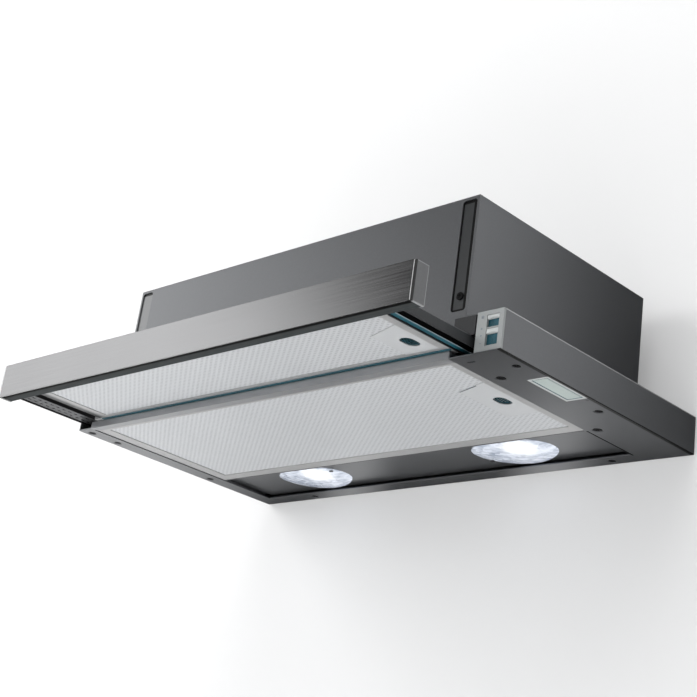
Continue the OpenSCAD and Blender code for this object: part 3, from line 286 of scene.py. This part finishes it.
# With a painted shadow on the left of the front frame
shaded_aluminium = surface("front_frame_aluminium", paint=front_frame_shadow, **FILTER_FRAME)
zinc = surface("zinc_plate", (0.42, 0.425, 0.43), 0.36, vary=0.18, scale=140, Metallic=0.9)
dull_zinc = surface("dull_zinc_plate", (0.12, 0.122, 0.126), 0.4, vary=0.18, scale=140, Metallic=0.8)
black_zinc = surface("black_zinc", (0.005, 0.005, 0.0055), 0.4, vary=0.2, scale=300,
                     bevel=1.2 * MM, Specular_IOR_Level=0.08)
chrome = surface("reflector_chrome", (0.8, 0.81, 0.82), 0.12, vary=0.03, scale=80, Metallic=1.0)

# Plastic and rubber
cap_grey = surface("cap_dark_grey", (0.13, 0.133, 0.137), 0.4, scale=500, bevel=0.2 * MM,
                   paint=cap_shade_and_highlights)
black_plastic = surface("black_plastic", (0.02, 0.021, 0.023), 0.5, scale=700, depth=0.05 * MM)
silver = surface("silver_plastic", (0.3, 0.315, 0.315), 0.42, vary=0.03, scale=900, depth=0.02 * MM)
white = surface("white_plastic", (0.5, 0.52, 0.515), 0.38, vary=0.03, scale=600, depth=0.02 * MM)
teal = surface("teal_plastic", **TEAL)
teal_strip = surface("teal_glide_strip", bevel=0.2 * MM, paint=runner_shadow_and_highlight, **TEAL)
latch_teal = surface("latch_plastic", (0.008, 0.045, 0.058), 0.22, vary=0.2, scale=500,
                     depth=0.02 * MM, Coat_Weight=0.6, Coat_Roughness=0.12)
grey_plastic = surface("grey_plastic", (0.4, 0.41, 0.42), 0.45, scale=500)
rubber = surface("black_rubber", (0.018, 0.018, 0.019), 0.7, scale=900, depth=0.06 * MM)


def mesh_mat():
    """Expanded metal: two crossing sets of slanted strands round small openings."""
    cell_w, cell_d = 7.4 * MM, 5.7 * MM
    m, t = new_mat("expanded_mesh")
    x, y, _ = t.xyz()
    across = t.math("MULTIPLY", x, 2 * math.pi / cell_w)
    along = t.math("MULTIPLY", y, 2 * math.pi / cell_d)
    up = t.math("SINE", t.math("ADD", along, across))
    down = t.math("SINE", t.math("SUBTRACT", along, across))
    grain = t.noise(400, detail=2.0)
    cloud = t.noise(9)
    hole = t.ramp(t.math("MINIMUM", up, down), -0.35, 0.6)
    strand = t.mix(cloud, (0.56, 0.575, 0.59), (0.62, 0.63, 0.645))
    color = t.mix(hole, strand, (0.44, 0.45, 0.465))
    rough = t.ramp(grain, 0.3, 0.7, 0.4, 0.55)
    height = t.math("MULTIPLY_ADD", grain, 0.15, t.math("MULTIPLY", hole, -1.0))
    return finish_mat(t, m, color, rough, height, 0.2 * MM, Metallic=0.2)


def lens_mat(cores):
    """Lit ribbed glass: pale bluish facets round a bright core in each lens."""
    core_r, halo_r = 8 * MM, 26 * MM
    m, t = new_mat("lit_ribbed_glass")
    facets = t.add("ShaderNodeTexVoronoi", {"Vector": t.here(), "Scale": 150.0}, feature="F1")
    streak = t.noise(70, (1, 2.2, 1), 5.0)
    core = 0.0
    for at in cores:
        far = t.add("ShaderNodeVectorMath", {0: t.here(), 1: at}, operation="DISTANCE")
        core = t.math("ADD", core, t.ramp(far.outputs["Value"], core_r, halo_r, 1.0, 0.0))
    glow = t.ramp(t.math("MULTIPLY_ADD", facets.outputs["Color"], 0.4, streak), 0.4, 0.95)
    pale = t.mix(glow, (0.3, 0.34, 0.42), (0.62, 0.66, 0.74))
    color = t.mix(core, pale, (0.95, 0.97, 1.0))
    return finish_mat(t, m, color, 0.12, facets.outputs["Distance"], 0.7 * MM, Emission_Color=color,
                      Emission_Strength=0.45, Coat_Weight=0.6, Coat_Roughness=0.05)


def bulb_mat():
    """The warm white glass of a lit bulb."""
    m, t = new_mat("lit_bulb")
    core = t.ramp(t.noise(90), 0.3, 0.7)
    color = t.mix(core, (1.0, 0.97, 0.9), (1, 1, 1))
    return finish_mat(t, m, color, 0.2, core, Emission_Color=color, Emission_Strength=6.0)


def bar_mat():
    """Dark plastic with a black line of painted shade along the underside, just behind the face, for the
    gap between face and body.
    """
    m, t = new_mat("bar_body_plastic")
    y = t.xyz()[1]
    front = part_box("bar_body")[0][1]
    grain = t.noise(500, (0.05, 1, 1))
    shade = t.mix(t.ramp(grain, 0.3, 0.7), (0.04, 0.044, 0.045), (0.05, 0.055, 0.056))
    # Painted shade: the black line for the gap behind the face
    color = t.mix(t.band(y, front + 1.2 * MM, front + 5 * MM), shade, SHADE_BLACK)
    return finish_mat(t, m, color, 0.6, grain, 0.02 * MM, Specular_IOR_Level=0.04)


expanded = mesh_mat()
bar_body_grey = bar_mat()
bulb = bulb_mat()

# Both lenses are one node, so each centre is a half width in from its end
lens_lo, lens_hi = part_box("lamp_lenses")
lens_half_w = 49 * MM
lens_half_d = (lens_hi[1] - lens_lo[1]) / 2
lamp_y = (lens_lo[1] + lens_hi[1]) / 2
lamp_xs = [lens_lo[0] + lens_half_w, lens_hi[0] - lens_half_w]

# The lit core lies off the middle of each lens, on the camera's side
core_dx, core_dy = 16 * MM, -13 * MM
lens = lens_mat([(x + core_dx, lamp_y + core_dy, lens_lo[2]) for x in lamp_xs])

LOOKS = {
    graphite_painted_lines: ["right_side_channel"],
    graphite: ["left_side_channel", "front_top_rail", "rear_cross_member",
               "housing_front", "housing_left", "housing_right", "housing_back", "housing_top",
               "lamp_panel", "arm_cover_plate"],
    light_rail: ["pullout_rear_rail"],
    grey_rail: ["front_cross_rail"],
    satin: ["bar_face"],
    bar_body_grey: ["bar_body"],
    cap_grey: ["bar_end_caps"],
    arm_grey: ["right_arm"],
    clamp_black: ["side_clamps"],
    # The left arm is painted black as painted shade; the right arm above is dark grey
    black: ["left_arm"],
    black_plastic: ["left_rail_cover", "right_rail_cover", "ball_cages", "scroll_left", "scroll_right",
                    "duct_collar"],
    aluminium: ["main_filter_frame"],
    shaded_aluminium: ["front_filter_frame"],
    expanded: ["main_filter_mesh", "front_filter_mesh"],
    zinc: ["outer_rails", "inner_rails", "cage_balls", "motor_shaft", "motor_bracket", "collar_screws"],
    dull_zinc: ["left_runner"],
    black_zinc: ["underside_screws", "clamp_screws"],
    silver: ["control_panel"],
    white: ["light_switch_knob", "fan_switch_knob", "run_capacitor", "terminal_box",
            "plain_label_plate"],
    latch_white: ["main_latch_plate", "front_latch_plate"],
    teal: ["switch_block", "pullout_seal"],
    teal_strip: ["right_runner"],
    latch_teal: ["main_filter_latch", "front_filter_latch"],
    chrome: ["lamp_reflectors"],
    grey_plastic: ["impeller", "front_flap", "back_flap"],
    motor_paint: ["motor"],
    rubber: ["cable_gland"],
    lens: ["lamp_lenses"],
    bulb: ["lamp_bulbs"],
}
for look, names in LOOKS.items():
    for name in names:
        slots = nodes[name].data.materials
        slots.clear()
        slots.append(look)


# Pieces that the CAD leaves to the scene

def rounded(w, d, r, at, steps=5):
    """Outline of a rectangle w by d with corners of radius r, about a place."""
    pts = []
    for i, (sx, sy) in enumerate([(1, 1), (-1, 1), (-1, -1), (1, -1)]):
        for k in range(steps + 1):
            a = math.pi / 2 * (i + k / steps)
            pts.append((at[0] + sx * (w / 2 - r) + r * math.cos(a),
                        at[1] + sy * (d / 2 - r) + r * math.sin(a)))
    return pts


def slab(bm, lay, outer, inner=None):
    """A flat body over an outline, open in the middle where an inner outline of as many points is
    given. lay(u, v, w) places each point on the one face, where w is 0, and on the other."""
    rings = []
    for line in (outer, inner):
        if line:
            rings += [[bm.verts.new(lay(u, v, w)) for u, v in line] for w in (0, 1)]
    if inner:
        low_out, high_out, low_in, high_in = rings
        pairs = [(low_out, high_out), (high_out, high_in), (high_in, low_in), (low_in, low_out)]
    else:
        low_out, high_out = rings
        pairs = [(low_out, high_out)]
        bm.faces.new(low_out)
        bm.faces.new(high_out)
    n = len(outer)
    for a, b in pairs:
        for i in range(n):
            j = (i + 1) % n
            bm.faces.new((a[i], a[j], b[j], b[i]))


def on_front(y, thick):
    """Places an outline drawn in x and z on a front face at y, raised by its thickness."""
    return lambda u, v, w: (u, y - thick * w, v)


def on_underside(z, thick):
    """Places an outline drawn in x and y on an underside at z, hanging its thickness below it."""
    return lambda u, v, w: (u, v, z - thick * w)


def piece(name, body, mat, fill, bevel=0.0):
    """A piece of the hood whose mesh fill(bm) builds, riding on a body."""
    bm = bmesh.new()
    fill(bm)
    bmesh.ops.recalc_face_normals(bm, faces=bm.faces)
    me = bpy.data.meshes.new(name)
    bm.to_mesh(me)
    bm.free()
    ob = bpy.data.objects.new(name, me)
    bpy.context.scene.collection.objects.link(ob)
    me.materials.append(mat)
    if bevel:
        m = ob.modifiers.new("edges", "BEVEL")
        m.width = bevel
        m.segments = 2
        m.limit_method = "ANGLE"
    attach(ob, body)


def marks(bm):
    """Marks beside the switches: a lamp in a square, and a dot for each speed of the fan."""
    lo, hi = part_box("control_panel")
    lay = on_front(lo[1] + 0.05 * MM, 0.15 * MM)
    x, top = lo[0] + 6 * MM, hi[2]
    lamp_at = (x, top - 5.2 * MM)
    side, inside, core = 2.6 * MM, 1.612 * MM, 0.78 * MM
    core_r = 0.3 * MM
    slab(bm, lay, rounded(side, side, 0.5 * MM, lamp_at), rounded(inside, inside, core_r, lamp_at))
    slab(bm, lay, rounded(core, core, core_r, lamp_at))
    for drop, dot_r in ((15.9 * MM, 0.95 * MM), (22.3 * MM, 0.75 * MM), (29.4 * MM, 0.55 * MM)):
        slab(bm, lay, rounded(2 * dot_r, 2 * dot_r, 0.98 * dot_r, (x, top - drop)))


def lips(bm):
    """Soft lips that close the slots in which the knobs' stems run."""
    lay = on_front(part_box("switch_block")[0][1] + 0.4 * MM, 0.3 * MM)
    knob_lo, knob_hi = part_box("light_switch_knob")
    stem_x = (knob_lo[0] + knob_hi[0]) / 2
    light_slot, fan_slot = (22.8 * MM, 33.7 * MM), (6.2 * MM, 21.0 * MM)
    reach, slit = 1.5 * MM, 0.05 * MM
    for z0, z1 in (light_slot, fan_slot):
        for way in (-1, 1):
            at = (stem_x + way * (reach + slit) / 2, (z0 + z1) / 2)
            slab(bm, lay, rounded(reach - slit, z1 - z0, 0.1 * MM, at))


def step(bm):
    """Painted shade: a thin dark sheet along the slanted front end of the main latch plate."""
    lo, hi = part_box("main_latch_plate")
    slope = 11 * MM / (hi[0] - lo[0])
    width = 1.1 * MM
    ends = [(x, lo[1] + slope * (hi[0] - x)) for x in (lo[0] + 1 * MM, hi[0] - 12 * MM)]
    slab(bm, on_underside(lo[2], 0.06 * MM), ends + [(x, y + width) for x, y in reversed(ends)])


# The recess of the plain plate, which lies in an opening of the underside. The plate's flange reaches
# beyond the opening, its rim stands within, and the opening ends a little short of the chassis side
plate_lo, plate_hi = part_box("plain_label_plate")
flange, rim, recess_z = 2 * MM, 2.65 * MM, 0.6 * MM
opening_end = cad_box[1][0] - 2.5 * MM
in_x0, in_x1 = plate_lo[0] + flange + rim, opening_end - rim
in_y0, in_y1 = plate_lo[1] + flange + rim, plate_hi[1] - flange - rim
in_at = ((in_x0 + in_x1) / 2, (in_y0 + in_y1) / 2)
in_w, in_d = in_x1 - in_x0, in_y1 - in_y0
margin = 1.1 * MM


def backing(bm):
    """Teal border round the recess."""
    corner_r = 0.4 * MM
    slab(bm, on_underside(recess_z, 0.15 * MM), rounded(in_w, in_d, corner_r, in_at),
         rounded(in_w - 2 * margin, in_d - 2 * margin, corner_r, in_at))


def insert(bm):
    """Bare pale sheet within the border."""
    inset = 2.6 * margin
    slab(bm, on_underside(recess_z, 0.4 * MM), rounded(in_w - inset, in_d - inset, 1.2 * MM, in_at))


def rivet(bm):
    """The rivet at the plate's rear corner."""
    head_w, corner_r = 3.6 * MM, 1.75 * MM
    at = (plate_hi[0] - 4.5 * MM, plate_hi[1] + 2.2 * MM)
    slab(bm, on_underside(0.27 * MM, 0.3 * MM), rounded(head_w, head_w, corner_r, at))


def shadow_gap_slab(bm):
    """A black slab of painted shadow in the gap between the lamp panel and the strip at its right."""
    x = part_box("right_side_channel")[0][0] + 0.95 * MM
    lo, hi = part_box("lamp_panel")
    at = (x, (lo[1] + hi[1]) / 2)
    slab(bm, on_underside(0.06 * MM, 0.08 * MM), rounded(1.7 * MM, hi[1] - lo[1], 0.3 * MM, at))


def clips(bm):
    """A small clip at each lens: at the front right of the left one, at the rear left of the other."""
    clip_w, clip_d, corner_r = 5 * MM, 3 * MM, 1 * MM
    for lamp_x, degrees in zip(lamp_xs, (-28, 152)):
        a = math.radians(degrees)
        at = (lamp_x + (lens_half_w - 3 * MM) * math.cos(a),
              lamp_y + (lens_half_d - 2.5 * MM) * math.sin(a))
        slab(bm, on_underside(3.4 * MM, 1 * MM), rounded(clip_w, clip_d, corner_r, at))


piece("switch_marks", "hood", ink, marks)
piece("slot_lips", "hood", teal, lips)
piece("latch_plate_edge_shade", "main_filter", latch_teal, step)
piece("plate_backing", "hood", teal, backing)
piece("plate_insert", "hood", pale_plate, insert, 0.12 * MM)
piece("plate_rivet", "hood", dull_zinc, rivet, 0.1 * MM)
piece("panel_painted_gap_shadow", "hood", shadow_gap_mat, shadow_gap_slab)
piece("lens_clips", "hood", black_plastic, clips, 0.3 * MM)


# Floor and wall

def plane(name, corners, mat):
    """A flat backdrop that isn't part of the hood."""
    me = bpy.data.meshes.new(name)
    me.from_pydata(corners, [], [(0, 1, 2, 3)])
    ob = bpy.data.objects.new(name, me)
    bpy.context.scene.collection.objects.link(ob)
    me.materials.append(mat)


def shade_near(t):
    """Painted shade on the wall, seen only in the gloss of the hood: how dark the wall is painted there,
    deepest close by, less to the sides and in a band under the hood."""
    near_x, far_x = 0.26, 0.58
    low_edge, band_top, band_low, band_end = 0.012, -0.07, -0.1, -0.13
    x, _, z = t.xyz()
    beside = t.ramp(t.math("ABSOLUTE", x), near_x, far_x, 0.03, 0.9)
    under = t.both(t.ramp(z, low_edge, band_top, 0.05, 0.62), t.ramp(z, band_low, band_end, 1.0, 0.0))
    return t.math("SUBTRACT", 1.0, t.most(beside, under))


def painted_lamp_glow(t):
    """A painted glow of each lamp on the wall behind it, seen only in the gloss of the hood."""
    spot_r, top, end = 0.08, -0.05, -0.1
    x, _, z = t.xyz()
    offs = [t.math("ABSOLUTE", t.math("SUBTRACT", x, lamp_x)) for lamp_x in lamp_xs]
    spots = [t.ramp(off, 0.0, spot_r, 0.6, 0.0) for off in offs]
    return t.both(t.most(*spots), t.ramp(z, top, end, 1.0, 0.0))


def opening(t):
    """Where the wall is left open behind the hood, for light to reach its back."""
    housing_half, chassis_half = 0.2, 0.29
    x, _, z = t.xyz()
    off = t.math("ABSOLUTE", x)
    behind_housing = t.both(t.below(off, housing_half), t.band(z, 0.06, 0.15))
    behind_chassis = t.both(t.below(off, chassis_half), t.band(z, 0.004, 0.034))
    return t.most(behind_housing, behind_chassis)


def plaster(name, lift_share, is_wall=False):
    """Pale matt ground, a share of it lifted to plain white for the camera. The wall also lets a camera
    behind it see through, and shows the gloss of the hood a painted shade near the hood and a painted
    glow of its lamps."""
    base = (0.86, 0.86, 0.86)
    m, t = new_mat(name)
    rays = t.add("ShaderNodeLightPath").outputs
    color = t.mix(t.noise(1.5), scaled(base, 0.985), base)
    lift = t.math("MULTIPLY", rays["Is Camera Ray"], lift_share)
    if is_wall:
        # Glossy rays see painted shade on the wall near the hood and a painted glow of the lamps
        color = t.mix(t.both(rays["Is Glossy Ray"], shade_near(t)), color, (0.02, 0.02, 0.021))
        lift = t.most(lift, t.both(rays["Is Glossy Ray"], painted_lamp_glow(t)))
    bump = t.add("ShaderNodeBump", {"Height": t.noise(120), "Distance": 0.1 * MM}).outputs[0]
    matt = t.add("ShaderNodeBsdfDiffuse", {"Color": color, "Normal": bump}).outputs[0]
    lit = t.add("ShaderNodeEmission", {"Color": (1, 1, 1), "Strength": 1.0}).outputs[0]
    out = t.add("ShaderNodeMixShader", {0: lift, 1: matt, 2: lit}).outputs[0]
    if is_wall:
        open_part = t.math("SUBTRACT", opening(t), rays["Is Camera Ray"], clamp=True)
        gone = t.most(t.add("ShaderNodeNewGeometry").outputs["Backfacing"], open_part)
        clear = t.add("ShaderNodeBsdfTransparent").outputs[0]
        out = t.add("ShaderNodeMixShader", {0: gone, 1: out, 2: clear}).outputs[0]
    t.put(t.add("ShaderNodeOutputMaterial").inputs[0], out)
    return m


REACH = 9
FLOOR_Z = -2.4
WALL_Y = 1.5 * MM
WALL_TOP = 7
floor_corners = [(-REACH, -REACH, FLOOR_Z), (REACH, -REACH, FLOOR_Z),
                 (REACH, REACH, FLOOR_Z), (-REACH, REACH, FLOOR_Z)]
wall_corners = [(-REACH, WALL_Y, FLOOR_Z), (REACH, WALL_Y, FLOOR_Z),
                (REACH, WALL_Y, WALL_TOP), (-REACH, WALL_Y, WALL_TOP)]
plane("floor", floor_corners, plaster("floor_plaster", 0.45))
plane("wall", wall_corners, plaster("wall_plaster", 0.18, is_wall=True))


# World and lamps

def studio(t):
    """White to the camera and through glass, and an even soft light on matt surfaces. Glossy ones
    see a bright window at the left, and dimmer light at the right, behind, in front and above."""
    window_way = (-0.96, -0.28, 0.0)
    rays = t.add("ShaderNodeLightPath").outputs
    way = t.add("ShaderNodeTexCoord").outputs["Generated"]
    x, y, z = t.add("ShaderNodeSeparateXYZ", {0: way}).outputs
    dot = t.add("ShaderNodeVectorMath", {0: way, 1: window_way}, operation="DOT_PRODUCT")
    to_window = dot.outputs["Value"]
    start, full, core = 0.79, 0.89, 0.94
    dim, bright = 0.03, 1.9
    window = t.both(t.ramp(to_window, start, full, dim, bright), t.ramp(to_window, full, core, 1.0, 0.86))
    # Dimmer zones: the way, where along it each starts and is full, and its strength there
    at_right = (x, 0.1, 0.6, 0.6)
    behind = (y, 0.1, 0.8, 0.7)
    in_front = (y, -0.71, -0.9, 0.9)
    on_top = (z, 0.5, 0.9, 0.9)
    zones = [t.ramp(v, a, b, 0.0, peak) for v, a, b, peak in (at_right, behind, in_front, on_top)]
    strength = t.most(window, *zones)
    glossy = t.add("ShaderNodeBackground", {"Color": (1, 1, 1), "Strength": strength}).outputs[0]
    soft = t.add("ShaderNodeBackground", {"Color": (0.98, 0.99, 1.0), "Strength": 0.55}).outputs[0]
    plain = t.add("ShaderNodeBackground", {"Color": (1, 1, 1), "Strength": 1.0}).outputs[0]
    lit = t.add("ShaderNodeMixShader", {0: rays["Is Glossy Ray"], 1: soft, 2: glossy}).outputs[0]
    direct = t.most(rays["Is Camera Ray"], rays["Is Transmission Ray"])
    out = t.add("ShaderNodeMixShader", {0: direct, 1: lit, 2: plain}).outputs[0]
    t.put(t.add("ShaderNodeOutputWorld").inputs[0], out)


def area(name, place, target, size, watts, in_gloss=True):
    """A lamp of a given width and height that shines on a target."""
    light = bpy.data.lights.new(name, "AREA")
    light.shape = "RECTANGLE"
    light.size, light.size_y = size
    light.energy = watts
    ob = bpy.data.objects.new(name, light)
    bpy.context.scene.collection.objects.link(ob)
    ob.visible_glossy = in_gloss
    ob.location = place
    ob.rotation_euler = (Vector(target) - Vector(place)).to_track_quat("-Z", "Y").to_euler()


world = bpy.data.worlds.new("studio")
bpy.context.scene.world = world
world.use_nodes = True
studio(Tree(world.node_tree))
area("key_left", (-2.2, -2.0, 1.1), (0, -0.2, 0.05), (1.6, 1.6), 50, in_gloss=False)
area("fill_below", (0.3, -1.3, -2.0), (0, -0.2, 0), (2.2, 1.6), 24)
area("top", (0.4, -0.8, 2.4), (0, -0.1, 0), (2.0, 1.6), 40)


# Camera, solved from the straight edges of the hood in the photo

SENSOR_MM = 36
PHOTO_PX = 697
FOCAL_PX = 1477.5
# Where the camera's axis meets the photo, both across and down
AXIS_PX = 300
EYE = (1.05298, -1.16643, -0.44745)
# Lies along the axis of the camera's turn and is as long as its angle
TURN = Vector((1.0538998, 0.5908645, -0.6138787))

cam = bpy.data.cameras.new("camera")
cam.lens = FOCAL_PX / PHOTO_PX * SENSOR_MM
cam.shift_x = (PHOTO_PX / 2 - AXIS_PX) / PHOTO_PX
cam.shift_y = (AXIS_PX - PHOTO_PX / 2) / PHOTO_PX
cam.clip_start = 0.02
cam.clip_end = 60
eye = bpy.data.objects.new("camera", cam)
bpy.context.scene.collection.objects.link(eye)
right, down, ahead = Matrix.Rotation(TURN.length, 3, TURN.normalized())
eye.matrix_world = Matrix.Translation(EYE) @ Matrix((right, -down, -ahead)).transposed().to_4x4()
bpy.context.scene.camera = eye
bpy.context.scene.view_settings.view_transform = "Standard"
